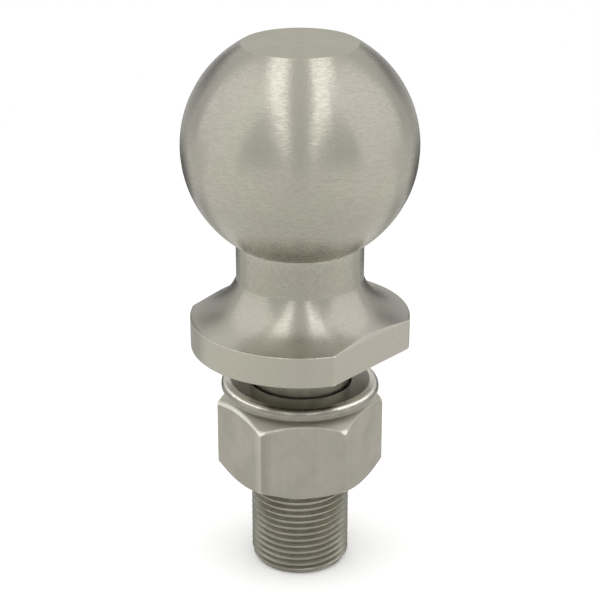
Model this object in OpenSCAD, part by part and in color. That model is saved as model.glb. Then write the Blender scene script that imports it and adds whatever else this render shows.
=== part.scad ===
// Threaded tow ball with its split lock washer and hex nut.
// The origin is the middle of the flange's seat face, and +Z points up through the ball.
// The shank hangs below the seat. Its thread is cut here as level grooves of the true form,
// and the scene draws the right-hand helix.

/* [Ball] */
// Diameter of the ball
ball_d = 58.74; // [50:0.01:65]
// Diameter of the flat on top of the ball
ball_flat_d = 28.4; // [10:0.1:36]
// Height of the ball's centre above the seat face
ball_h = 52.5; // [45:0.1:70]
// Diameter of the neck under the ball
neck_d = 32.2; // [24:0.1:36]

/* [Flange] */
// Diameter of the flange's round rim
flange_d = 55.8; // [48:0.1:70]
// Height of the rim above the seat face
flange_t = 8; // [5:0.1:12]
// Height above the seat face at which the flare meets the neck
flare_h = 18; // [15:0.1:22]
// Radius of the hollow curve between the neck and the rim
flare_r = 15; // [13.5:0.1:30]
// Distance across the two spanner flats
flats_w = 47.6; // [42:0.1:48]
// Direction that the first spanner flat faces, seen from above
flats_angle = -41.2; // [-90:0.1:90]
// Edge broken off the rim at top and bottom
rim_break = 0.4; // [0.2:0.1:1]

/* [Shank] */
// Diameter of the shank over the crests of its thread
shank_d = 25.4; // [19:0.1:26]
// Length of the shank below the seat face
shank_l = 61.4; // [50:0.1:90]
// Diameter of the shank's end face
shank_end_d = 23.3; // [15:0.1:24]
// Length of the lead-in cone at the shank's end
shank_lead_l = 1.6; // [0.5:0.1:4]
// Length of the plain shank above the thread
plain_l = 11; // [2:0.5:30]
// Pitch of the thread
thread_pitch = 1.8143; // [1:0.0001:4]
// Depth of the thread, crest to root, on the radius
thread_depth = 0.98; // [0.3:0.01:1.4]
// Height of one crest, as a distance below the seat face
crest_drop = 49.18; // [40:0.01:60]

/* [Hex nut] */
// Distance across the nut's flats
nut_af = 37.45; // [36.5:0.05:42]
// Height of the nut
nut_h = 22.3; // [18:0.1:24]
// Distance of the nut's top face below the seat face
nut_drop = 14.1; // [12:0.1:26]
// Direction of one of the nut's corners, seen from above
nut_angle = 2.1; // [0:0.1:60]
// Diameter of the flat ring left on each face inside the corner chamfer
nut_face_d = 33.6; // [30:0.1:36]
// Slope of the corner chamfer
nut_chamfer = 30; // [15:1:35]
// Depth of the countersink at each end of the nut's bore
nut_sink = 0.9; // [0.3:0.1:1.2]
// Clearance between the nut's bore and the shank, on the radius
thread_gap = 0.05; // [0.01:0.01:0.1]

/* [Lock washer] */
// Outside diameter of the washer
washer_d = 40.6; // [38:0.1:44]
// Clearance between the washer's bore and the shank, on the radius
washer_gap = 0.4; // [0.2:0.05:0.8]
// Thickness of the washer's section
washer_t = 3.65; // [3:0.05:6.5]
// Height that the left-hand coil climbs in a full turn
washer_rise = 1.6; // [0.5:0.1:4]
// Width of the split between the two ends, at the middle of the section
split_w = 2.6; // [1:0.1:6]
// Direction of the split, seen from above
split_angle = 28; // [-180:1:180]
// Slant of the cut ends away from the washer's axis
split_slant = 20; // [0:1:30]
// Radius of the section's outer edges
outer_round = 1.4; // [0.3:0.1:1.45]
// Radius of the section's inner edges
inner_round = 0.5; // [0.2:0.1:1]
// Clearance between the washer's low end and the nut
seat_gap = 0.05; // [0.02:0.01:0.3]

/* [Hidden] */
$fn = 96;
overlap = 1;

ball_r = ball_d / 2;
ball_flat_r = ball_flat_d / 2;
ball_top = ball_h + sqrt(ball_r * ball_r - ball_flat_r * ball_flat_r);
neck_r = neck_d / 2;
flange_r = flange_d / 2;
shank_r = shank_d / 2;

nut_top = -nut_drop;
nut_corner_r = nut_af / sqrt(3);
nut_bore_r = shank_r + thread_gap;

washer_in = shank_r + washer_gap;
washer_out = washer_d / 2;
washer_mid = (washer_in + washer_out) / 2;
washer_low = nut_top + seat_gap;

// Steps along the coil and steps around each rounded edge
coil_steps = 90;
edge_steps = 4;

// Centre of the flare's arc: as far from the neck's foot as from the rim's top edge
flare_foot = [neck_r, flare_h];
flare_rim = [flange_r, flange_t];
flare_chord = flare_rim - flare_foot;
flare_half = norm(flare_chord) / 2;
flare_up = [-flare_chord[1], flare_chord[0]] / norm(flare_chord);
flare_sag = sqrt(flare_r * flare_r - flare_half * flare_half);
flare_centre = (flare_foot + flare_rim) / 2 + flare_up * flare_sag;

// Half section of the round foot: rim, hollow flare and the start of the neck
module foot_section() {
  difference() {
    polygon([
      [0, 0],
      [flange_r - rim_break, 0],
      [flange_r, rim_break],
      flare_rim,
      flare_foot,
      [0, flare_h]
    ]);
    translate(flare_centre) circle(r = flare_r);
    translate([flange_r, flange_t]) rotate(45)
      square([2 * rim_break * sin(45), 4 * rim_break], center = true);
  }
}

// Half section of the ball, cut flat on top, with the neck below it
module ball_section() {
  intersection() {
    translate([0, ball_h]) circle(r = ball_r);
    translate([0, ball_h - ball_r]) square([ball_r, ball_top - ball_h + ball_r]);
  }
  translate([0, flare_h - overlap]) square([neck_r, ball_h - flare_h + overlap]);
}

// Crests are an eighth of the pitch wide and roots a quarter, joined by straight flanks
crest_half = thread_pitch / 16;
root_half = thread_pitch / 8;
root_r = shank_r - thread_depth;

// The first groove lies just under the plain shank, and the last just above the lead-in cone
first_root = floor((crest_drop - plain_l) / thread_pitch) - 0.5;
groove_n = floor(first_root + (shank_l - shank_lead_l - crest_drop) / thread_pitch) + 1;
function root_z(i) = (first_root - i) * thread_pitch - crest_drop;

// Half section of the shank, with the lead-in cone at its end
module shank_section() {
  difference() {
    polygon([
      [0, overlap],
      [shank_r, overlap],
      [shank_r, shank_lead_l - shank_l],
      [shank_end_d / 2, -shank_l],
      [0, -shank_l]
    ]);
    for (i = [0 : groove_n - 1]) translate([0, root_z(i)]) groove_section();
  }
}

// Half section of one groove of the thread, opened out past the crests
module groove_section() {
  flank_h = thread_pitch / 2 - crest_half - root_half;
  past = overlap / thread_depth;
  polygon([
    [root_r, -root_half],
    [root_r, root_half],
    [shank_r + overlap, root_half + flank_h * (1 + past)],
    [shank_r + overlap, -root_half - flank_h * (1 + past)]
  ]);
}

// Space outside one of the two spanner flats
module flat_cut() {
  translate([flats_w / 2, -flange_d / 2, -overlap])
    cube([flange_d, flange_d, flare_h + 2 * overlap]);
}

// The ball, neck, flange and shank are one forged and turned piece
module tow_ball() {
  color("#a6a499")
    difference() {
      union() {
        rotate_extrude() {
          foot_section();
          ball_section();
        }
        rotate_extrude() shank_section();
      }
      for (side = [0, 180]) rotate([0, 0, flats_angle + side]) flat_cut();
    }
}

// Half section of the nut's blank, coned at both faces where the corners are turned off
module nut_blank_section() {
  cone_w = nut_corner_r + overlap - nut_face_d / 2;
  cone_h = cone_w * tan(nut_chamfer);
  polygon([
    [0, 0],
    [nut_face_d / 2, 0],
    [nut_corner_r + overlap, cone_h],
    [nut_corner_r + overlap, nut_h - cone_h],
    [nut_face_d / 2, nut_h],
    [0, nut_h]
  ]);
}

// Half section of the nut's bore, opened out by a countersink at each end
module nut_bore_section() {
  polygon([
    [0, -overlap],
    [nut_bore_r + nut_sink + overlap, -overlap],
    [nut_bore_r, nut_sink],
    [nut_bore_r, nut_h - nut_sink],
    [nut_bore_r + nut_sink + overlap, nut_h + overlap],
    [0, nut_h + overlap]
  ]);
}

module hex_nut() {
  color("#9d998e")
    translate([0, 0, nut_top - nut_h])
      difference() {
        intersection() {
          rotate([0, 0, nut_angle]) cylinder(r = nut_corner_r, h = nut_h, $fn = 6);
          rotate_extrude() nut_blank_section();
        }
        rotate_extrude() nut_bore_section();
      }
}

// Points of one rounded edge of the washer's section, as [radius, height]
function edge_arc(centre, r, from) = [
  for (i = [0 : edge_steps])
    centre + r * [cos(from + 90 * i / edge_steps), sin(from + 90 * i / edge_steps)]
];

// Washer's section, anticlockwise from its outer lower edge
washer_section = concat(
  edge_arc([washer_out - outer_round, outer_round], outer_round, -90),
  edge_arc([washer_out - outer_round, washer_t - outer_round], outer_round, 0),
  edge_arc([washer_in + inner_round, washer_t - inner_round], inner_round, 90),
  edge_arc([washer_in + inner_round, inner_round], inner_round, 180)
);
section_n = len(washer_section);

// The coil starts just before the split and climbs clockwise, seen from above
split_arc = split_w / washer_mid * 180 / PI;
coil_arc = 360 - split_arc;
slant_arc = tan(split_slant) / washer_mid * 180 / PI;

// Point of the coil at a share of its length, for one [radius, height] of the section
function coil_point(share, p) =
  let (turned = coil_arc * share + slant_arc * (p[1] - washer_t / 2))
  let (a = split_angle - split_arc / 2 - turned)
  [
    p[0] * cos(a),
    p[0] * sin(a),
    washer_low + p[1] + washer_rise * coil_arc / 360 * share
  ];

module lock_washer() {
  coil_points = [
    for (i = [0 : coil_steps])
      for (p = washer_section) coil_point(i / coil_steps, p)
  ];
  sides = [
    for (i = [0 : coil_steps - 1])
      for (j = [0 : section_n - 1])
        let (k = (j + 1) % section_n)
          [
            i * section_n + j,
            i * section_n + k,
            (i + 1) * section_n + k,
            (i + 1) * section_n + j
          ]
  ];
  low_end = [for (j = [section_n - 1 : -1 : 0]) j];
  high_end = [for (j = [0 : section_n - 1]) coil_steps * section_n + j];
  color("#8d897d")
    polyhedron(points = coil_points, faces = concat([low_end], sides, [high_end]));
}

tow_ball();
lock_washer();
hex_nut();
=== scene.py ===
"""Threaded tow ball on its flange, with a split lock washer and a hex nut.

Lengths are in millimetres until a mesh is made, and in metres from there on.
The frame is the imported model's: origin at the middle of the flange's seat face, +Z up.
"""
import math

import bmesh
import bpy
from mathutils import Matrix, Vector


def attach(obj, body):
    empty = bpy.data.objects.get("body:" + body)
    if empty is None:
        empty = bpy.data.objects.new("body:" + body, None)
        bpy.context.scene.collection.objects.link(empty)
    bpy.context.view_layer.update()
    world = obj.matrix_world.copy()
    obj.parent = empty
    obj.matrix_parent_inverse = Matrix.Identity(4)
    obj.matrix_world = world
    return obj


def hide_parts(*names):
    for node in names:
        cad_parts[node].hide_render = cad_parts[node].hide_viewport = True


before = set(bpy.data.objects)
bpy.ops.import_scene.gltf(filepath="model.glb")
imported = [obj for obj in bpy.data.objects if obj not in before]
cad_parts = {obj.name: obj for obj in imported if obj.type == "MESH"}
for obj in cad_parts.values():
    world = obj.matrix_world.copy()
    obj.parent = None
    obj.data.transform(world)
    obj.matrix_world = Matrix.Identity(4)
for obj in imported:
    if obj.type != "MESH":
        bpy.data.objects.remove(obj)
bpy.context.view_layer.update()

MM = 0.001

# Turned piece
BALL_R, BALL_H, BALL_FLAT_R, BALL_FLAT_EDGE = 29.35, 52.5, 14.2, 0.5
NECK_R = 16.1
FLARE_H, FLARE_R = 18.0, 15.0
FLANGE_R, FLANGE_T = 27.88, 8.0
FLATS_W, FLATS_ANGLE = 47.6, -41.2
RIM_EDGE = 0.3
SHANK_R, SHANK_L, SHANK_END_R, LEAD_L = 12.7, 61.4, 11.65, 1.6

# Right-hand thread, 14 turns to the inch, with a crest at this height on the camera's side
PITCH = 25.4 / 14
CREST_Z = -49.18
THREAD_TOP = -11.0
THREAD_DEPTH = 0.98
RUN_OUT = 1.5
THREAD_GAP = 0.06

# Nut
NUT_AF, NUT_H, NUT_TOP, NUT_ANGLE = 37.4, 22.3, -14.1, 2.1
NUT_FACE_R, NUT_CHAMFER, NUT_SINK = 16.8, 30.0, 0.9
# Rounds of its upright corners and of its coned edges, and the side whose upper edge is rounder
# and carries a painted highlight
NUT_CORNER, NUT_EDGE, NUT_WORN_EDGE = 1.2, 0.35, 1.1
LIT_EDGE_ANGLE = 205.0
NUT_MOUTH_R = SHANK_R + 0.05 + NUT_SINK

# Lock washer, a left-hand coil
WASHER_IN, WASHER_OUT, WASHER_T = 13.1, 20.3, 3.65
WASHER_LOW, WASHER_RISE = -14.05, 1.6
SPLIT_W, SPLIT_ANGLE, SPLIT_SLANT = 2.6, 28.0, 20.0
OUTER_ROUND, INNER_ROUND = 1.75, 0.5
COIL_STEPS = 181

# Every turned surface has the same columns, so that rings of different pieces of mesh meet
COLUMNS = 144
FIRST_COLUMN = -90.0
# Within this distance of the shank the columns stay even, to meet the thread
EVEN_WITHIN = 1.2
# Strips in each rounded edge
ROUND_STEPS = 3
# Points closer than this, in metres, are one
WELD = 2e-6

# The kinds of node that come up most. A noise's scale is 1000 over its pattern's size in mm
MATH, VECTOR_MATH = "ShaderNodeMath", "ShaderNodeVectorMath"
RANGE, MIX, NOISE = "ShaderNodeMapRange", "ShaderNodeMix", "ShaderNodeTexNoise"
SPLIT, JOIN = "ShaderNodeSeparateXYZ", "ShaderNodeCombineXYZ"


def column_angle(i):
    return FIRST_COLUMN + 360.0 * i / COLUMNS


def linear(hex_colour):
    """An sRGB hex colour as the linear RGBA that Blender wants."""
    text = hex_colour.lstrip("#")
    parts = [int(text[k:k + 2], 16) / 255 for k in (0, 2, 4)]
    return tuple(c / 12.92 if c <= 0.04045 else ((c + 0.055) / 1.055) ** 2.4
                 for c in parts) + (1.0,)


def add(tree, kind, *values, **named):
    """Adds a node, with its settings, and with its inputs set or linked.

    Values fill the inputs in order. A name in small letters is a setting, and any other
    is an input's label, with _ for a space. A node stands for its first output, and a
    hex colour is made linear.
    """
    node = tree.nodes.new(kind)
    for name, value in named.items():
        if name.islower():
            setattr(node, name, value)
    open_inputs = [socket for socket in node.inputs if socket.enabled]
    links = list(zip(open_inputs, values))
    links += [(next(s for s in open_inputs if s.name == name.replace("_", " ")), value)
              for name, value in named.items() if not name.islower()]
    for socket, value in links:
        if isinstance(value, bpy.types.Node):
            value = next(s for s in value.outputs if s.enabled)
        if isinstance(value, bpy.types.NodeSocket):
            tree.links.new(value, socket)
        elif isinstance(value, str) and value.startswith("#"):
            socket.default_value = linear(value)
        else:
            socket.default_value = value
    return node


def new_material(name):
    mat = bpy.data.materials.new(name)
    mat.use_nodes = True
    mat.node_tree.nodes.clear()
    return mat, mat.node_tree


def mesh_object(name, bm, sharp_deg=None):
    """A new object at the origin from a bmesh, smooth but for its sharp edges."""
    mesh = bpy.data.meshes.new(name)
    bm.to_mesh(mesh)
    bm.free()
    for face in mesh.polygons:
        face.use_smooth = True
    if sharp_deg is not None:
        mesh.set_sharp_from_angle(angle=math.radians(sharp_deg))
    obj = bpy.data.objects.new(name, mesh)
    bpy.context.scene.collection.objects.link(obj)
    return obj


def bare_object(name):
    obj = bpy.data.objects.new(name, bpy.data.meshes.new(name))
    bpy.context.scene.collection.objects.link(obj)
    return obj


def run_tree(obj, tree, inputs):
    """Runs a geometry tree on an object and returns the result as a plain mesh."""
    mod = obj.modifiers.new("build", "NODES")
    mod.node_group = tree
    for item in tree.interface.items_tree:
        if item.item_type == "SOCKET" and item.in_out == "INPUT" and item.name in inputs:
            mod[item.identifier] = inputs[item.name]
    deps = bpy.context.evaluated_depsgraph_get()
    deps.update()
    mesh = bpy.data.meshes.new_from_object(obj.evaluated_get(deps), depsgraph=deps)
    obj.modifiers.remove(mod)
    return mesh


def fillet(corners, guard=0.3):
    """Rounds the corners of an open (radius, height) line, as (radius, height, wear).

    corners holds (r, z, edge): edge 0 keeps the corner, and any other rounds it with
    that radius. A round is worn, and a plain point on each side of it ends the wear.
    """
    line = []
    for k, (r, z, edge) in enumerate(corners):
        here = Vector((r, z))
        if edge == 0 or k in (0, len(corners) - 1):
            line.append(Vector((r, z, 0.0)))
            continue
        back = (Vector(corners[k - 1][:2]) - here).normalized()
        on = (Vector(corners[k + 1][:2]) - here).normalized()
        half = back.angle(on) / 2
        reach = edge / math.tan(half)
        centre = here + (back + on).normalized() * (edge / math.sin(half))
        start, end = here + back * reach - centre, here + on * reach - centre
        turn = start.angle_signed(end)
        line.append((here + back * (reach + guard)).to_3d())
        for s in range(ROUND_STEPS + 1):
            a = -turn * s / ROUND_STEPS
            at = centre + Vector((start.x * math.cos(a) - start.y * math.sin(a),
                                  start.x * math.sin(a) + start.y * math.cos(a)))
            line.append(Vector((at.x, at.y, 1.0)))
        line.append((here + on * (reach + guard)).to_3d())
    return line


def lathe(bm, line_at, columns=None, corners_at=None, upright=0.25, pole_top=None,
          pole_bottom=None):
    """Skins the (radius, height, wear) line of each column, from its top to its bottom.

    columns holds each column's direction and wear, corners_at the least radius and the
    greatest height of the upright corners, and upright the wear along them. Rings at
    the shank keep even columns.
    """
    wear = bm.verts.layers.float.get("wear") or bm.verts.layers.float.new("wear")
    columns = columns or [(column_angle(i), 0.0) for i in range(COLUMNS)]
    lines = [line_at(angle) for angle, _ in columns]
    rings = []
    for row in range(len(lines[0])):
        ring = []
        for i, (angle, worn) in enumerate(columns):
            r, z, row_worn = lines[i][row]
            outside = r > SHANK_R + EVEN_WITHIN
            a = math.radians(angle if outside else column_angle(i))
            vert = bm.verts.new((r * math.cos(a) * MM, r * math.sin(a) * MM, z * MM))
            if not corners_at or r < corners_at[0] or z > corners_at[1]:
                worn = 0.0
            vert[wear] = 0.5 * row_worn + upright * worn + 0.9 * row_worn * worn
            ring.append(vert)
        rings.append(ring)
    for upper, lower in zip(rings, rings[1:]):
        for i in range(COLUMNS):
            j = (i + 1) % COLUMNS
            bm.faces.new((upper[i], lower[i], lower[j], upper[j]))
    if pole_top is not None:
        pole = bm.verts.new((0, 0, pole_top * MM))
        for i in range(COLUMNS):
            bm.faces.new((pole, rings[0][i], rings[0][(i + 1) % COLUMNS]))
    if pole_bottom is not None:
        pole = bm.verts.new((0, 0, pole_bottom * MM))
        for i in range(COLUMNS):
            bm.faces.new((pole, rings[-1][(i + 1) % COLUMNS], rings[-1][i]))


def gathered(corners, spread):
    """Columns with some drawn in to each upright corner of an outline.

    spread gives the offset and wear of the columns 0, 1, 2 ... places from a corner.
    """
    columns = [(column_angle(i), 0.0) for i in range(COLUMNS)]
    for corner in corners:
        nearest = round((corner - FIRST_COLUMN) * COLUMNS / 360)
        for k, (offset, worn) in enumerate(spread):
            columns[(nearest + k) % COLUMNS] = (corner + offset, worn)
            columns[(nearest - k) % COLUMNS] = (corner - offset, worn)
    return columns


def turned(angle, to):
    """The smallest turn from one direction to another, in degrees."""
    return (angle - to + 180.0) % 360.0 - 180.0


def thread_tree(inside):
    """A helical thread from a flat grid: across it runs the turn, up it the pitch.

    The form is the basic 60 degree one: a crest an eighth of the pitch wide and a root a
    quarter wide, joined by straight flanks, so sixteen rows to a pitch meet its corners.
    """
    tree = bpy.data.node_groups.new("Cut thread", "GeometryNodeTree")
    face = tree.interface
    face.new_socket("Geometry", in_out="INPUT", socket_type="NodeSocketGeometry")
    for name in ("Crest radius", "Pitch", "Depth", "Start height", "Low end", "High end",
                 "Run-out", "Low mouth radius", "Low mouth slope", "High mouth radius",
                 "High mouth slope"):
        face.new_socket(name, in_out="INPUT", socket_type="NodeSocketFloat")
    for name in ("Columns", "Pitches"):
        face.new_socket(name, in_out="INPUT", socket_type="NodeSocketInt")
    face.new_socket("Metal", in_out="INPUT", socket_type="NodeSocketMaterial")
    face.new_socket("Geometry", in_out="OUTPUT", socket_type="NodeSocketGeometry")
    given = tree.nodes.new("NodeGroupInput").outputs
    done = tree.nodes.new("NodeGroupOutput")

    across = add(tree, MATH, given["Columns"], 1.0, operation="ADD")
    up = add(tree, MATH, given["Pitches"], 16.0, 1.0, operation="MULTIPLY_ADD")
    grid = add(tree, "GeometryNodeMeshGrid", Size_X=1.0, Size_Y=1.0, Vertices_X=across,
               Vertices_Y=up)
    place = add(tree, "GeometryNodeInputPosition")
    flat = add(tree, SPLIT, place)
    turn = add(tree, MATH, flat.outputs["X"], 0.5, operation="ADD")
    rows = add(tree, MATH, add(tree, MATH, flat.outputs["Y"], 0.5, operation="ADD"),
               given["Pitches"], operation="MULTIPLY")

    free_z = add(tree, MATH, add(tree, MATH, turn, rows, operation="ADD"), given["Pitch"],
                 given["Start height"], operation="MULTIPLY_ADD")
    z = add(tree, MATH, add(tree, MATH, free_z, given["High end"], operation="MINIMUM"),
            given["Low end"], operation="MAXIMUM")

    # Share of the depth: 0 on the crest, 1 in the root
    from_crest = add(tree, MATH, rows, 0.5, operation="PINGPONG")
    form = add(tree, MATH, add(tree, MATH, from_crest, 1 / 16, operation="SUBTRACT"), 5 / 16,
               operation="DIVIDE", use_clamp=True)
    below_top = add(tree, MATH, given["High end"], z, operation="SUBTRACT")
    fade = add(tree, RANGE, below_top, 0.0, given["Run-out"], interpolation_type="SMOOTHSTEP")
    depth = add(tree, MATH, add(tree, MATH, form, fade, operation="MULTIPLY"), given["Depth"],
                operation="MULTIPLY")
    radius = add(tree, MATH, given["Crest radius"], depth, operation="SUBTRACT")

    # A cone opens or closes each end
    above_low = add(tree, MATH, z, given["Low end"], operation="SUBTRACT")
    low = add(tree, MATH, above_low, given["Low mouth slope"], given["Low mouth radius"],
              operation="MULTIPLY_ADD")
    high = add(tree, MATH, below_top, given["High mouth slope"], given["High mouth radius"],
               operation="MULTIPLY_ADD")
    pick = "MAXIMUM" if inside else "MINIMUM"
    radius = add(tree, MATH, add(tree, MATH, radius, low, operation=pick), high, operation=pick)

    angle = add(tree, MATH, turn, 2 * math.pi, math.radians(FIRST_COLUMN),
                operation="MULTIPLY_ADD")
    x = add(tree, MATH, radius, add(tree, MATH, angle, operation="COSINE"), operation="MULTIPLY")
    y = add(tree, MATH, radius, add(tree, MATH, angle, operation="SINE"), operation="MULTIPLY")
    wrapped = add(tree, JOIN, x, y, z)
    bent = add(tree, "GeometryNodeSetPosition", Geometry=grid.outputs["Mesh"], Position=wrapped)
    rubbed = add(tree, MATH, 1.0,
                 add(tree, MATH, form, 5.0, operation="MULTIPLY", use_clamp=True),
                 operation="SUBTRACT")
    marked = add(tree, "GeometryNodeStoreNamedAttribute", data_type="FLOAT", domain="POINT",
                 Geometry=bent, Name="wear", Value=rubbed)
    joined = add(tree, "GeometryNodeMergeByDistance", Geometry=marked, Distance=WELD)
    skin = joined.outputs[0]
    if inside:
        skin = add(tree, "GeometryNodeFlipFaces", Mesh=skin)
    real = add(tree, "GeometryNodeRealizeInstances", Geometry=skin)
    coated = add(tree, "GeometryNodeSetMaterial", Geometry=real, Material=given["Metal"])
    tree.links.new(coated.outputs[0], done.inputs[0])
    return tree


def thread_mesh(name, inside, metal, gap, low, high, low_mouth, high_mouth, run_out):
    """The thread between two heights. Both threads share one helix, so they mesh."""
    first = math.floor((low - CREST_Z) / PITCH) - 1
    start = CREST_Z + first * PITCH
    host = bare_object(name)
    mesh = run_tree(host, thread_tree(inside), {
        "Crest radius": (SHANK_R + gap) * MM, "Pitch": PITCH * MM,
        "Depth": THREAD_DEPTH * MM, "Start height": start * MM,
        "Low end": low * MM, "High end": high * MM, "Run-out": run_out * MM,
        "Low mouth radius": low_mouth[0] * MM, "Low mouth slope": low_mouth[1],
        "High mouth radius": high_mouth[0] * MM, "High mouth slope": high_mouth[1],
        "Columns": COLUMNS, "Pitches": math.ceil((high - start) / PITCH) + 1,
        "Metal": metal,
    })
    bpy.data.objects.remove(host)
    return mesh


def flange_reach(angle):
    """Radius of the flange's edge: the round rim, or a spanner flat where that is nearer."""
    reach = FLANGE_R
    for side in (0, 180):
        off = math.radians(abs(turned(angle, FLATS_ANGLE + side)))
        if off < math.pi / 3:
            flat = FLATS_W / 2 / math.cos(off)
            # Over this width, in mm, the flat and the round rim run into each other
            soft = 0.16
            mix = min(1.0, max(0.0, 0.5 + 0.5 * (flat - reach) / soft))
            reach = flat * (1 - mix) + reach * mix - soft * mix * (1 - mix)
    return reach


def flare_centre():
    foot, rim = Vector((NECK_R, FLARE_H)), Vector((FLANGE_R, FLANGE_T))
    chord = rim - foot
    sag = math.sqrt(FLARE_R ** 2 - chord.length_squared / 4)
    return (foot + rim) / 2 + Vector((-chord.y, chord.x)).normalized() * sag


def ball_line():
    """Flat top, its small edge round, and the sphere down to the neck."""
    start = math.asin(BALL_FLAT_R / BALL_R)
    top = BALL_H + BALL_R * math.cos(start)
    just_below = start + 1.2 / BALL_R
    edge = fillet([(BALL_FLAT_R - 2.5, top, 0), (BALL_FLAT_R, top, BALL_FLAT_EDGE),
                   (BALL_R * math.sin(just_below), BALL_H + BALL_R * math.cos(just_below), 0)])
    line = [Vector((r, top, 0.0)) for r in (3.0, 7.0, 10.0)] + edge[:-2]
    end = math.pi - math.asin(NECK_R / BALL_R)
    first = start + 0.45 / BALL_R
    rows = 60
    for k in range(rows + 1):
        a = first + (end - first) * k / rows
        line.append(Vector((BALL_R * math.sin(a), BALL_H + BALL_R * math.cos(a), 0.0)))
    return line, top


def foot_line(angle, centre):
    """Neck, hollow flare and rim, down to the seat face, for one direction."""
    reach = flange_reach(angle)
    neck_top = BALL_H - math.sqrt(BALL_R ** 2 - NECK_R ** 2)
    line = [Vector((NECK_R, neck_top + (FLARE_H - neck_top) * k / 5, 0.0))
            for k in range(1, 6)]
    start = math.atan2(FLARE_H - centre.y, NECK_R - centre.x)
    if start > 0:
        start -= 2 * math.pi
    drop = -math.sqrt(FLARE_R ** 2 - (reach - centre.x) ** 2)
    end = math.atan2(drop, reach - centre.x)
    rows = 30
    arc = [centre + FLARE_R * Vector((math.cos(a), math.sin(a)))
           for a in (start + (end - start) * k / rows for k in range(1, rows + 1))]
    line += [at.to_3d() for at in arc[:-3]]
    rim_z = arc[-1].y
    rim = fillet([(arc[-4].x, arc[-4].y, 0), (reach, rim_z, RIM_EDGE), (reach, rim_z / 2, 0)])
    seat = fillet([(reach, rim_z / 2, 0), (reach, 0, RIM_EDGE), (SHANK_R, 0, 0)])
    line += rim[1:] + seat[1:-1]
    line += [Vector((SHANK_R + out, 0.0, 0.0)) for out in (6.0, 0.5, 0.0)]
    line += [Vector((SHANK_R, THREAD_TOP * k / 6, 0.0)) for k in range(1, 7)]
    return line


def make_tow_ball(ball_metal, shank_metal):
    corner = math.degrees(math.acos(FLATS_W / 2 / FLANGE_R))
    corners = [FLATS_ANGLE + side + sign * corner for side in (0, 180) for sign in (-1, 1)]
    columns = gathered(corners, ((0.0, 0.8), (0.35, 0.5), (0.9, 0.0)))
    ball, top = ball_line()
    centre = flare_centre()
    bm = bmesh.new()
    lathe(bm, lambda angle: ball + foot_line(angle, centre), columns,
          (FLANGE_R - 1, FLARE_H), pole_top=top)
    bm.from_mesh(thread_mesh(
        "shank_thread", False, shank_metal, 0.0, -SHANK_L, THREAD_TOP,
        (SHANK_END_R, (SHANK_R - SHANK_END_R) / LEAD_L), (SHANK_R, 0.0), RUN_OUT))
    lathe(bm, lambda angle: [Vector((r, -SHANK_L, 0.0)) for r in (SHANK_END_R, 8.0, 3.0)],
          pole_bottom=-SHANK_L)
    bmesh.ops.remove_doubles(bm, verts=bm.verts, dist=WELD)
    # What lies below the seat face is the shank
    for face in bm.faces:
        face.material_index = int(face.calc_center_median().z < -0.01 * MM)
    obj = mesh_object("turned_ball", bm, 15)
    obj.data.materials.append(ball_metal)
    obj.data.materials.append(shank_metal)
    return obj


def hex_reach(angle):
    """Radius of the hex outline, with each corner rounded."""
    off = math.radians(abs((angle - NUT_ANGLE) % 60 - 30))
    half = NUT_AF / 2
    straight = half / math.cos(off)
    # The round at the corner, seen from the axis
    far = (half - NUT_CORNER) / math.cos(math.pi / 6)
    across = far * math.sin(math.pi / 6 - off)
    if across >= NUT_CORNER:
        return straight
    return min(straight, far * math.cos(math.pi / 6 - off)
               + math.sqrt(NUT_CORNER ** 2 - across ** 2))


def nut_line(angle):
    """Outer line of the nut from its top mouth to its bottom mouth, for one direction."""
    reach = hex_reach(angle)
    cone = (reach - NUT_FACE_R) * math.tan(math.radians(NUT_CHAMFER))
    top, low = NUT_TOP, NUT_TOP - NUT_H
    middle = (top + low) / 2
    # Above, the left-front side and the tips are rounder and brighter: on that side the
    # brightness is a painted highlight where the lamps catch the edge, and the tips are rubbed
    lit_edge = (0.5 + 0.5 * math.cos(math.radians(angle - LIT_EDGE_ANGLE))) ** 6
    from_corner = abs(turned(6 * angle, 6 * NUT_ANGLE)) / 6
    tip = max(0.0, 1 - from_corner / 4)
    edge = NUT_EDGE + (NUT_WORN_EDGE - NUT_EDGE) * max(lit_edge, tip)
    upper = fillet([(NUT_MOUTH_R, top, 0), (NUT_FACE_R, top, 0.8),
                    (reach, top - cone, edge), (reach, middle, 0)], guard=0.25)
    lower = fillet([(reach, middle, 0), (reach, low + cone, NUT_EDGE),
                    (NUT_FACE_R, low, 0.8), (NUT_MOUTH_R, low, 0)], guard=0.25)
    wear_and_highlight_above = 0.4 + 1.6 * lit_edge + 0.8 * tip
    return ([Vector((r, z, worn * wear_and_highlight_above)) for r, z, worn in upper]
            + [Vector((r, z, worn * 0.3)) for r, z, worn in lower[1:]])


def make_hex_nut(metal):
    columns = gathered([NUT_ANGLE + 60 * k for k in range(6)],
                       ((0.0, 1.0), (0.55, 0.95), (1.15, 0.8), (2.0, 0.5), (3.6, 0.0)))
    bm = bmesh.new()
    lathe(bm, nut_line, columns, (NUT_FACE_R + 0.6, 0), 0.2)
    bm.from_mesh(thread_mesh(
        "nut_thread", True, metal, THREAD_GAP, NUT_TOP - NUT_H, NUT_TOP,
        (NUT_MOUTH_R, -1.0), (NUT_MOUTH_R, -1.0), run_out=0.001))
    bmesh.ops.remove_doubles(bm, verts=bm.verts, dist=WELD)
    # The thread comes with its own slot, and the nut has one
    for face in bm.faces:
        face.material_index = 0
    obj = mesh_object("coned_nut", bm, 15)
    obj.data.materials.append(metal)
    return obj


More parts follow.
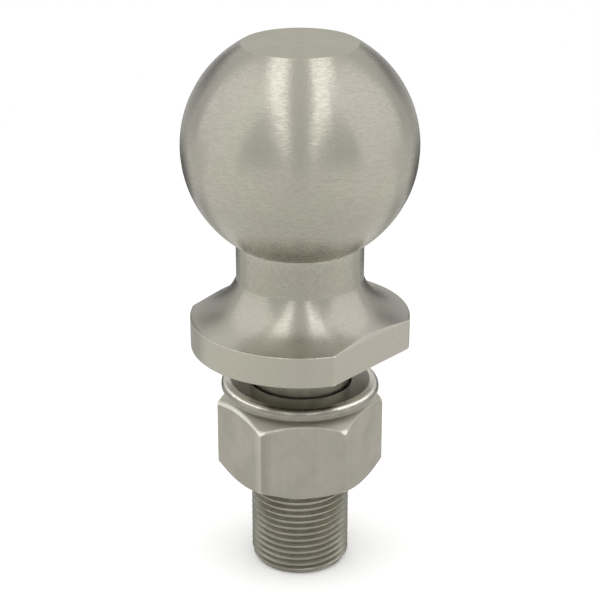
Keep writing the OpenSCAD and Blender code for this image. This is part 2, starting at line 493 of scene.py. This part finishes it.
def coil_tree():
    """Sweeps a rounded section along a flat left-hand coil and slants its two cut ends."""
    tree = bpy.data.node_groups.new("Coil washer", "GeometryNodeTree")
    face = tree.interface
    for name in ("Inner radius", "Outer radius", "Thickness", "Low side", "Rise",
                 "Start angle", "Coil angle", "Slant angle", "Outer round", "Inner round"):
        face.new_socket(name, in_out="INPUT", socket_type="NodeSocketFloat")
    face.new_socket("Steps", in_out="INPUT", socket_type="NodeSocketInt")
    face.new_socket("Metal", in_out="INPUT", socket_type="NodeSocketMaterial")
    face.new_socket("Geometry", in_out="OUTPUT", socket_type="NodeSocketGeometry")
    given = tree.nodes.new("NodeGroupInput").outputs
    done = tree.nodes.new("NodeGroupOutput")

    # The section lies flat at first: X is its width and Y its thickness
    width = add(tree, MATH, given["Outer radius"], given["Inner radius"], operation="SUBTRACT")
    section = add(tree, "GeometryNodeCurvePrimitiveQuadrilateral", Width=width,
                  Height=given["Thickness"])
    corner = add(tree, "GeometryNodeInputPosition")
    side = add(tree, SPLIT, corner)
    outer = add(tree, MATH, side.outputs["X"], 0.0, operation="GREATER_THAN")
    edge = add(tree, MIX, data_type="FLOAT", Factor=outer, A=given["Inner round"],
               B=given["Outer round"])
    rounded = add(tree, "GeometryNodeFilletCurve", mode="POLY", Curve=section, Count=8,
                  Radius=edge)

    # A straight path along Z: its height stands for the share of the coil
    path = add(tree, "GeometryNodeCurvePrimitiveLine", Start=(0.0, 0.0, 0.0), End=(0.0, 0.0, 1.0))
    steps = add(tree, "GeometryNodeResampleCurve", Curve=path, Count=given["Steps"])
    bar = add(tree, "GeometryNodeCurveToMesh", Curve=steps, Profile_Curve=rounded, Fill_Caps=True)

    place = add(tree, "GeometryNodeInputPosition")
    at = add(tree, SPLIT, place).outputs
    both = add(tree, MATH, given["Outer radius"], given["Inner radius"], operation="ADD")
    middle = add(tree, MATH, both, 0.5, operation="MULTIPLY")
    radius = add(tree, MATH, middle, at["X"], operation="ADD")
    share = at["Z"]
    level = add(tree, MATH, at["Y"], given["Thickness"], operation="DIVIDE")
    turn = add(tree, MATH, add(tree, MATH, share, given["Coil angle"], operation="MULTIPLY"),
               add(tree, MATH, level, given["Slant angle"], operation="MULTIPLY"),
               operation="ADD")
    angle = add(tree, MATH, given["Start angle"], turn, operation="SUBTRACT")
    lift = add(tree, MATH, share, given["Rise"], given["Low side"], operation="MULTIPLY_ADD")
    above_base = add(tree, MATH, given["Thickness"], 0.5, at["Y"], operation="MULTIPLY_ADD")
    z = add(tree, MATH, lift, above_base, operation="ADD")
    x = add(tree, MATH, radius, add(tree, MATH, angle, operation="COSINE"), operation="MULTIPLY")
    y = add(tree, MATH, radius, add(tree, MATH, angle, operation="SINE"), operation="MULTIPLY")
    wound = add(tree, JOIN, x, y, z)
    # Only the upper half takes the rim's painted highlight, and the metal's nodes find the rim on
    # it
    upper_half = add(tree, MATH, at["Y"], 0.0, operation="GREATER_THAN")
    marked = add(tree, "GeometryNodeStoreNamedAttribute", data_type="FLOAT", domain="POINT",
                 Geometry=bar, Name="wear", Value=upper_half)
    coil = add(tree, "GeometryNodeSetPosition", Geometry=marked, Position=wound)
    real = add(tree, "GeometryNodeRealizeInstances", Geometry=coil)
    coated = add(tree, "GeometryNodeSetMaterial", Geometry=real, Material=given["Metal"])
    tree.links.new(coated.outputs[0], done.inputs[0])
    return tree


def make_lock_washer(metal):
    middle = (WASHER_IN + WASHER_OUT) / 2
    split = SPLIT_W / middle
    coil = 2 * math.pi - split
    slant = math.tan(math.radians(SPLIT_SLANT)) * WASHER_T / middle
    host = bare_object("coil_host")
    mesh = run_tree(host, coil_tree(), {
        "Inner radius": WASHER_IN * MM, "Outer radius": WASHER_OUT * MM,
        "Thickness": WASHER_T * MM, "Low side": WASHER_LOW * MM,
        "Rise": WASHER_RISE * coil / (2 * math.pi) * MM,
        "Start angle": math.radians(SPLIT_ANGLE) - split / 2, "Coil angle": coil,
        "Slant angle": slant, "Outer round": OUTER_ROUND * MM,
        "Inner round": INNER_ROUND * MM, "Steps": COIL_STEPS, "Metal": metal,
    })
    bpy.data.objects.remove(host)
    bm = bmesh.new()
    bm.from_mesh(mesh)
    bmesh.ops.remove_doubles(bm, verts=bm.verts, dist=WELD)
    bmesh.ops.recalc_face_normals(bm, faces=bm.faces)
    ends = {e for f in bm.faces if len(f.verts) > 8 for e in f.edges}
    bmesh.ops.bevel(bm, geom=list(ends), offset=0.22 * MM, offset_type="OFFSET",
                    segments=2, profile=0.5, affect="EDGES")
    obj = mesh_object("coiled_washer", bm, 35)
    obj.data.materials.append(metal)
    return obj


def around_the_axis(tree):
    """Object coordinates, their X, Y and Z in metres, and the place round the axis.

    The place is a radius and a height in mm, and a direction as a unit vector.
    """
    coords = add(tree, "ShaderNodeTexCoord").outputs["Object"]
    at = add(tree, SPLIT, coords).outputs
    flat = add(tree, JOIN, at["X"], at["Y"], 0.0)
    length = add(tree, VECTOR_MATH, flat, operation="LENGTH")
    radius = add(tree, MATH, length.outputs["Value"], 1000.0, operation="MULTIPLY")
    height = add(tree, MATH, at["Z"], 1000.0, operation="MULTIPLY")
    way = add(tree, VECTOR_MATH, flat, operation="NORMALIZE")
    return coords, at, radius, height, way


def ring_tangent(tree, at):
    """The direction in which the tool ran, round the axis, in world space."""
    minus_y = add(tree, MATH, at["Y"], -1.0, operation="MULTIPLY")
    along = add(tree, JOIN, minus_y, at["X"], 0.0)
    world = add(tree, "ShaderNodeVectorTransform", vector_type="VECTOR", convert_from="OBJECT",
                convert_to="WORLD", Vector=along)
    return add(tree, VECTOR_MATH, world, operation="NORMALIZE")


def ring_noise(tree, radius, height, way, across_mm, along, detail=3.0, seed=0.0):
    """Noise drawn out round the axis: fine across the tool marks and long along them.

    Height and radius set the fine scale, and the direction, as a unit vector, the long
    one, so a mark fades after about 1/along of a radian and there is no seam.
    """
    fine = 1.0 / across_mm
    drift = add(tree, VECTOR_MATH, way, operation="SCALE", Scale=along)
    turn = add(tree, SPLIT, drift).outputs
    across = add(tree, MATH, add(tree, MATH, height, seed, operation="ADD"), fine,
                 operation="MULTIPLY")
    spot = add(tree, JOIN, across, add(tree, MATH, radius, fine, operation="MULTIPLY"), turn["X"])
    return add(tree, NOISE, noise_dimensions="4D", Vector=spot, W=turn["Y"], Scale=1.0,
               Detail=detail, Roughness=0.55)


def wear_mask(tree, coords, low, high, chip_mm=1.11, where=1.0):
    """Share of rubbed metal: the mesh's wear, broken up into chips of this size."""
    worn = add(tree, "ShaderNodeAttribute", attribute_name="wear").outputs["Fac"]
    worn = add(tree, MATH, worn, where, operation="MULTIPLY")
    chip = add(tree, NOISE, coords, 1000 / chip_mm, 2.0, 0.6)
    both = add(tree, MATH, chip, 0.6, add(tree, MATH, worn, 0.3, operation="SUBTRACT"),
               operation="MULTIPLY_ADD")
    return add(tree, RANGE, both, low, high)


def turned_steel():
    """Carbon steel, lathe turned and left satin under a thin clear plating.

    The rings of the tool draw every highlight out up and down the ball, break it into
    short level dashes, and leave a grey that drifts a little between green and pink.
    """
    mat, tree = new_material("turned_satin_steel")
    coords, at, radius, height, way = around_the_axis(tree)
    # Tool marks 0.25 mm apart would be finer than a pixel, so they are drawn at 0.45 mm.
    # The feed wavers every 2.6 mm, and the plating's tint drifts over about 17 mm
    marks = ring_noise(tree, radius, height, way, 0.45, 16.0, 4.0)
    bands = ring_noise(tree, radius, height, way, 2.6, 4.0, 2.0, 31.0)
    cloud = add(tree, NOISE, coords, 1000 / 16.7, 2.0, 0.5)
    tone = add(tree, MIX, add(tree, RANGE, cloud, 0.38, 0.62), "#a8a699", "#a9a49b",
               data_type="RGBA")
    # The ball's marks are plain to see, and the rim of the flange is nearly smooth
    plain = add(tree, RANGE, height, 6.0, 26.0, 0.15, 1.0)
    dash = add(tree, MATH, add(tree, RANGE, marks, 0.36, 0.66), plain, operation="MULTIPLY")
    tone = add(tree, MIX, add(tree, RANGE, dash, 0.0, 1.0, 0.0, 0.22), tone, "#858279",
               data_type="RGBA")
    # The cut top is a shade warmer, and the ball is painted lighter where it turns in to the
    # neck: painted light that lifts the dark reflection of the neck and flare below it
    tone = add(tree, MIX, add(tree, RANGE, height, 77.8, 78.1, 0.0, 0.8), tone, "#a8a591",
               data_type="RGBA")
    low_ball = add(tree, MATH, add(tree, RANGE, height, 42.0, 30.0, 0.0, 0.45),
                   add(tree, MATH, height, 28.1, operation="GREATER_THAN"), operation="MULTIPLY")
    tone = add(tree, MIX, low_ball, tone, "#cac7ba", data_type="RGBA")
    # The neck is painted a shade darker, a painted shade under the ball
    from_neck = add(tree, MATH, height, 22.5, operation="SUBTRACT")
    from_neck = add(tree, MATH, from_neck, operation="ABSOLUTE")
    neck = add(tree, RANGE, from_neck, 6.0, 3.0, 0.0, 0.3)
    tone = add(tree, MIX, neck, tone, "#88857a", data_type="RGBA")
    # Scuffs from handling, about 2.4 mm long, lie where the flare runs out to the rim
    scuff = add(tree, NOISE, coords, 1000 / 2.38, 4.0, 0.65)
    near_rim = add(tree, MATH, add(tree, RANGE, radius, 22.0, 26.5),
                   add(tree, MATH, height, 10.0, 1.9, operation="COMPARE"), operation="MULTIPLY")
    scuffed = add(tree, MATH, add(tree, RANGE, scuff, 0.52, 0.66), near_rim, operation="MULTIPLY")
    rubbed = add(tree, MATH, wear_mask(tree, coords, 0.4, 1.1),
                 add(tree, MATH, scuffed, 0.5, operation="MULTIPLY"), operation="MAXIMUM")
    rubbed = add(tree, MATH, rubbed, add(tree, MATH, near_rim, 0.35, operation="MULTIPLY"),
                 operation="MAXIMUM")
    tone = add(tree, MIX, rubbed, tone, "#cfccc1", data_type="RGBA")
    rough = add(tree, RANGE, height, 6.0, 26.0, 0.21, 0.16)
    rough = add(tree, MATH, bands, 0.1, rough, operation="MULTIPLY_ADD")
    rough = add(tree, MATH, dash, 0.14, rough, operation="MULTIPLY_ADD")
    rough = add(tree, MATH, near_rim, 0.08, rough, operation="MULTIPLY_ADD")
    bump = add(tree, "ShaderNodeBump", Strength=0.3, Distance=0.00004,
               Height=add(tree, MATH, scuffed, 0.8, dash, operation="MULTIPLY_ADD"))
    metal = add(tree, "ShaderNodeBsdfPrincipled", Base_Color=tone, Roughness=rough, Normal=bump,
                Tangent=ring_tangent(tree, at), Metallic=1.0, Anisotropic=0.78,
                Anisotropic_Rotation=0.25)
    add(tree, "ShaderNodeOutputMaterial", metal)
    return mat


def cut_thread_steel():
    """The shank's steel, with its thread cut and a thin film of old cutting oil on it.

    The film lies in patches all over, and the crests are rubbed bright.
    """
    mat, tree = new_material("cut_thread_steel")
    coords, _, radius, height, way = around_the_axis(tree)
    # Lines of the cutting tool, finer than a pixel, are drawn at 0.3 mm, and the oil lies
    # in patches of about 4 mm
    marks = ring_noise(tree, radius, height, way, 0.3, 9.0, 4.0)
    film = add(tree, NOISE, coords, 1000 / 3.85, 3.0, 0.6)
    tone = add(tree, MIX, add(tree, RANGE, film, 0.35, 0.65), "#aaa89c", "#9b988d",
               data_type="RGBA")
    tone = add(tree, MIX, add(tree, RANGE, marks, 0.4, 0.7, 0.0, 0.2), tone, "#7d7b72",
               data_type="RGBA")
    tone = add(tree, MIX, wear_mask(tree, coords, 0.5, 0.9, 1.43), tone, "#c9c7bb",
               data_type="RGBA")
    rough = add(tree, MATH, film, 0.2, 0.2, operation="MULTIPLY_ADD")
    bump = add(tree, "ShaderNodeBump", Strength=0.3, Distance=0.00004, Height=marks)
    metal = add(tree, "ShaderNodeBsdfPrincipled", Base_Color=tone, Roughness=rough, Normal=bump,
                Metallic=1.0)
    add(tree, "ShaderNodeOutputMaterial", metal)
    return mat


def spring_steel():
    """Spring steel wire, coiled, hardened and dull plated.

    It is a shade darker than the ball and smooth. Its top is painted darker, a painted shade
    under the flange, and the rim of its top carries a painted highlight at the left and the
    right.
    """
    mat, tree = new_material("coiled_spring_steel")
    coords, at, radius, height, way = around_the_axis(tree)
    # Lines from drawing the wire, finer than a pixel, are drawn at 0.6 mm, with 2 mm flecks
    grain = ring_noise(tree, radius, height, way, 0.6, 9.0, 4.0, 7.0)
    fleck = add(tree, NOISE, coords, 1000 / 2, 3.0, 0.6)
    tone = add(tree, MIX, add(tree, RANGE, grain, 0.3, 0.7), "#98948a", "#86837a",
               data_type="RGBA")
    tone = add(tree, MIX, add(tree, RANGE, fleck, 0.58, 0.75, 0.0, 0.2), tone, "#7d796f",
               data_type="RGBA")
    # The flat top is painted darker, a painted shade under the flange, and its rim has a painted
    # highlight to the left and the right, where the lamps catch the rounded shoulder
    rim_r = WASHER_OUT - OUTER_ROUND
    tone = add(tree, MIX, add(tree, RANGE, radius, rim_r, rim_r - 0.5, 0.0, 0.7), tone, "#827e74",
               data_type="RGBA")
    aside = add(tree, RANGE, add(tree, MATH, at["X"], operation="ABSOLUTE"), 0.0055, 0.0105)
    rim = add(tree, MATH, add(tree, RANGE, radius, rim_r - 0.9, rim_r - 0.3),
              add(tree, RANGE, radius, WASHER_OUT - 0.1, WASHER_OUT - 0.5), operation="MULTIPLY")
    where = add(tree, MATH, rim, aside, operation="MULTIPLY")
    tone = add(tree, MIX, wear_mask(tree, coords, 0.3, 0.85, 1.11, where), tone, "#e8e5db",
               data_type="RGBA")
    rough = add(tree, MATH, fleck, 0.1, 0.2, operation="MULTIPLY_ADD")
    bump = add(tree, "ShaderNodeBump", Strength=0.3, Distance=0.00003, Height=grain)
    metal = add(tree, "ShaderNodeBsdfPrincipled", Base_Color=tone, Roughness=rough, Normal=bump,
                Tangent=ring_tangent(tree, at), Metallic=1.0, Anisotropic=0.3,
                Anisotropic_Rotation=0.25)
    add(tree, "ShaderNodeOutputMaterial", metal)
    return mat


def nut_steel():
    """Cold-forged carbon steel, plated dull.

    The flats keep a faint upright grain from the die and a few dull smears, and the coned corners
    and long edges are rubbed bright. The upper edge on the left-front side and the upright corner
    in front on the left carry painted highlights, with a painted shade beside that corner, and
    the cones are painted lighter.
    """
    mat, tree = new_material("cold_forged_steel")
    coords, at, *_ = around_the_axis(tree)
    # Die lines about 0.5 mm wide and 8 mm long, half of these sizes, run down the flats.
    # The plating clouds over about 7 mm and is smeared over 9 mm
    upright = add(tree, "ShaderNodeMapping", Vector=coords,
                  Scale=(1000 / 1.11, 1000 / 1.11, 1000 / 16.7))
    grain = add(tree, NOISE, upright, 1.0, 3.0, 0.6)
    cloud = add(tree, NOISE, coords, 1000 / 6.67, 4.0, 0.6, Distortion=0.8)
    apart = add(tree, "ShaderNodeMapping", Vector=coords, Location=(0.3, 0.1, 0.7))
    smear = add(tree, NOISE, apart, 1000 / 9.1, 3.0, 0.5)
    tone = add(tree, MIX, add(tree, RANGE, cloud, 0.38, 0.62), "#a9a298", "#a29f95",
               data_type="RGBA")
    tone = add(tree, MIX, add(tree, RANGE, smear, 0.5, 0.66, 0.0, 0.3), tone, "#8d897f",
               data_type="RGBA")
    tone = add(tree, MIX, add(tree, RANGE, grain, 0.4, 0.7, 0.0, 0.2), tone, "#8b887e",
               data_type="RGBA")
    # The upright corner in front on the left has a painted highlight band before it and a painted
    # shade band after
    way_round = add(tree, MATH, at["Y"], at["X"], operation="ARCTAN2")
    corner = math.radians(NUT_ANGLE - 120)
    rubbed = add(tree, MATH, add(tree, RANGE, way_round, corner - 0.13, corner - 0.02, 0.0, 0.3),
                 add(tree, MATH, way_round, corner + 0.01, operation="LESS_THAN"),
                 operation="MULTIPLY")
    corner_shade = add(tree, MATH, add(tree, RANGE, way_round, corner + 0.13, corner + 0.05, 0.0, 0.5),
               add(tree, MATH, way_round, corner + 0.01, operation="GREATER_THAN"),
               operation="MULTIPLY")
    tone = add(tree, MIX, rubbed, tone, "#d0cdc3", data_type="RGBA")
    tone = add(tree, MIX, corner_shade, tone, "#8b887e", data_type="RGBA")
    # The turned cones at its two ends are rougher than the flats, and painted lighter: painted
    # light that lifts the washer's shade on the upper cone
    facing = add(tree, "ShaderNodeNewGeometry").outputs["Normal"]
    facing = add(tree, SPLIT, facing).outputs["Z"]
    coned = add(tree, RANGE, add(tree, MATH, facing, operation="ABSOLUTE"), 0.35, 0.65)
    tone = add(tree, MIX, coned, tone, "#c9c5ba", data_type="RGBA")
    # Rubbed edges and tips are lighter, and on the upper edge of the left-front side this is a
    # painted highlight
    tone = add(tree, MIX, wear_mask(tree, coords, 0.3, 1.1, 2.5), tone, "#e4e1d8",
               data_type="RGBA")
    rough = add(tree, MATH, cloud, 0.2, add(tree, RANGE, coned, 0.0, 1.0, 0.3, 0.5),
                operation="MULTIPLY_ADD")
    bump = add(tree, "ShaderNodeBump", Strength=0.3, Distance=0.00006,
               Height=add(tree, MATH, cloud, 1.5, grain, operation="MULTIPLY_ADD"))
    metal = add(tree, "ShaderNodeBsdfPrincipled", Base_Color=tone, Roughness=rough, Normal=bump,
                Metallic=1.0)
    add(tree, "ShaderNodeOutputMaterial", metal)
    return mat


def make_floor():
    """A pale, matt studio floor, which the camera sees fade to the white backdrop."""
    mat, tree = new_material("matt_floor")
    seen = add(tree, "ShaderNodeLightPath").outputs["Is Camera Ray"]
    _, at, radius, *_ = around_the_axis(tree)
    # The metal mirrors the floor in front a shade darker than the camera sees it
    aside = add(tree, RANGE, add(tree, MATH, at["X"], operation="ABSOLUTE"), 0.05, 0.25)
    mirrored = add(tree, MIX, aside, "#e4e4e2", "#fafaf8", data_type="RGBA")
    # Behind it is darker still, in the shade of the felt that stands there
    shade = add(tree, MATH, add(tree, RANGE, radius, 95.0, 125.0),
                add(tree, RANGE, radius, 210.0, 160.0, 0.35, 1.0), operation="MULTIPLY")
    behind = add(tree, MATH, add(tree, RANGE, at["Y"], 0.04, 0.09), shade, operation="MULTIPLY")
    mirrored = add(tree, MIX, behind, mirrored, "#b2b2b0", data_type="RGBA")
    paint = add(tree, "ShaderNodeBsdfDiffuse",
                Color=add(tree, MIX, seen, mirrored, "#ffffff", data_type="RGBA"))
    backdrop = add(tree, "ShaderNodeEmission", Color=linear("#ffffff"))
    far = add(tree, MATH, add(tree, RANGE, radius, 60.0, 400.0), seen, operation="MULTIPLY")
    mix = add(tree, "ShaderNodeMixShader", far, paint, backdrop)
    add(tree, "ShaderNodeOutputMaterial", mix)
    bm = bmesh.new()
    far_out, clear = 4.0, 0.2 * MM
    for x, y in ((-1, -1), (1, -1), (1, 1), (-1, 1)):
        bm.verts.new((x * far_out, y * far_out, -SHANK_L * MM - clear))
    bm.faces.new(bm.verts)
    floor = mesh_object("studio_floor", bm)
    floor.data.materials.append(mat)


def make_world():
    """Soft light all round, a little stronger overhead, seen as a white backdrop."""
    world = bpy.data.worlds.new("studio_light")
    world.use_nodes = True
    tree = world.node_tree
    tree.nodes.clear()
    seen = add(tree, "ShaderNodeLightPath").outputs["Is Camera Ray"]
    ray = add(tree, "ShaderNodeTexCoord").outputs["Generated"]
    up = add(tree, SPLIT, ray).outputs["Z"]
    light = add(tree, MATH, add(tree, MATH, up, 0.0, operation="MAXIMUM"), 0.25, 0.77,
                operation="MULTIPLY_ADD")
    level = add(tree, MATH, light, seen, operation="MAXIMUM")
    glow = add(tree, "ShaderNodeBackground", Color=(1.0, 1.0, 1.0, 1.0), Strength=level)
    add(tree, "ShaderNodeOutputWorld", glow)
    bpy.context.scene.world = world


def soft_lamp(name, start, end, width, strength, spread=180):
    """A soft flat lamp from start to end, facing the object.

    strength is the brightness of its face, and spread how far it shines to the sides.
    """
    start, end = Vector(start), Vector(end)
    middle, along = (start + end) / 2, (end - start).normalized()
    away = (middle - along * middle.dot(along)).normalized()
    lamp = bpy.data.lights.new(name, "AREA")
    lamp.shape = "RECTANGLE"
    lamp.size, lamp.size_y = width, (end - start).length
    lamp.energy = strength * math.pi * lamp.size * lamp.size_y
    lamp.spread = math.radians(spread)
    obj = bpy.data.objects.new(name, lamp)
    turn = Matrix((along.cross(away), along, away)).transposed()
    obj.matrix_world = Matrix.Translation(middle) @ turn.to_4x4()
    bpy.context.scene.collection.objects.link(obj)


def overhead_strip(side):
    """One of the pair of long strips that come down from overhead towards the camera.

    Each draws one of the two bright bands on the ball, which fade as they come down.
    """
    soft_lamp(f"overhead_strip_{side}", (0.13 * side, 0.34, 0.66),
              (0.35 * side, -2.0, 0.2), 0.15, 1.05, 160)


def side_window(side):
    """A broad soft light at each side, for the soft lighter band near the ball's rim."""
    soft_lamp(f"side_window_{side}", (1.0 * side, -0.75, 0.55), (1.0 * side, 0.55, 0.55),
              1.5, 0.46)


def dark_card(side):
    """A curved strip of dark felt behind the object, thin at its edges like gauze.

    Only reflections see it: it darkens the ball's rim, and nothing else.
    """
    mat, tree = new_material(f"dark_felt_{side}")
    cover = add(tree, "ShaderNodeAttribute", attribute_name="cover")
    felt = add(tree, "ShaderNodeBsdfDiffuse", Color=linear("#424240"))
    gap = add(tree, "ShaderNodeBsdfTransparent")
    mix = add(tree, "ShaderNodeMixShader", cover.outputs["Fac"], gap, felt)
    add(tree, "ShaderNodeOutputMaterial", mix)
    bm = bmesh.new()
    cover = bm.verts.layers.float.new("cover")
    near, low, high, across, up = 0.2, -SHANK_L * MM, 0.155, 16, 24
    grid = []
    for k in range(across + 1):
        share = k / across
        a = math.radians(90 - side * (2 + 52 * share))
        aside = min(max((share - 0.22) / 0.2, 0.0), 1.0)
        column = []
        for j in range(up + 1):
            z = low + (high - low) * j / up
            vert = bm.verts.new((near * math.cos(a), near * math.sin(a), z))
            # Dark across its foot, and again higher up, away from the middle
            upper = (0.76 - ((z - 0.105) / 0.05) ** 2) * aside
            band = max(1 - ((z + 0.025) / 0.05) ** 2, upper, 0.3 - 0.2 * (z > 0.11))
            vert[cover] = 0.95 * math.sin(math.pi * share) ** 0.4 * band
            column.append(vert)
        grid.append(column)
    for one, other in zip(grid, grid[1:]):
        for j in range(up):
            bm.faces.new((one[j], other[j], other[j + 1], one[j + 1]))
    card = mesh_object(f"dark_card_{side}", bm)
    card.data.materials.append(mat)
    card.visible_camera = False
    card.visible_diffuse = False
    card.visible_shadow = False


def make_camera():
    """The camera fitted to the photo, 23 degrees above the horizon."""
    data = bpy.data.cameras.new("camera")
    data.lens, data.sensor_width = 108.64, 36.0
    data.clip_start, data.clip_end = 0.01, 20.0
    camera = bpy.data.objects.new("camera", data)
    camera.location = (0.0, -0.421477, 0.190678)
    camera.rotation_euler = (math.radians(66.965), 0.0, 0.0)
    bpy.context.scene.collection.objects.link(camera)
    bpy.context.scene.camera = camera


def main():
    bpy.context.scene.view_settings.view_transform = "Standard"
    make_camera()
    make_floor()
    make_world()
    for side in (-1, 1):
        overhead_strip(side)
        side_window(side)
        dark_card(side)

    for make, metals, slot, node, body in (
            (make_tow_ball, (turned_steel, cut_thread_steel), "turned_steel", "tow_ball",
             "ball_and_shank"),
            (make_lock_washer, (spring_steel,), "spring_steel", "lock_washer", "washer"),
            (make_hex_nut, (nut_steel,), "nut_steel", "hex_nut", "nut")):
        piece = make(*[metal() for metal in metals])
        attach(piece, body)
        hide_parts(node)


main()
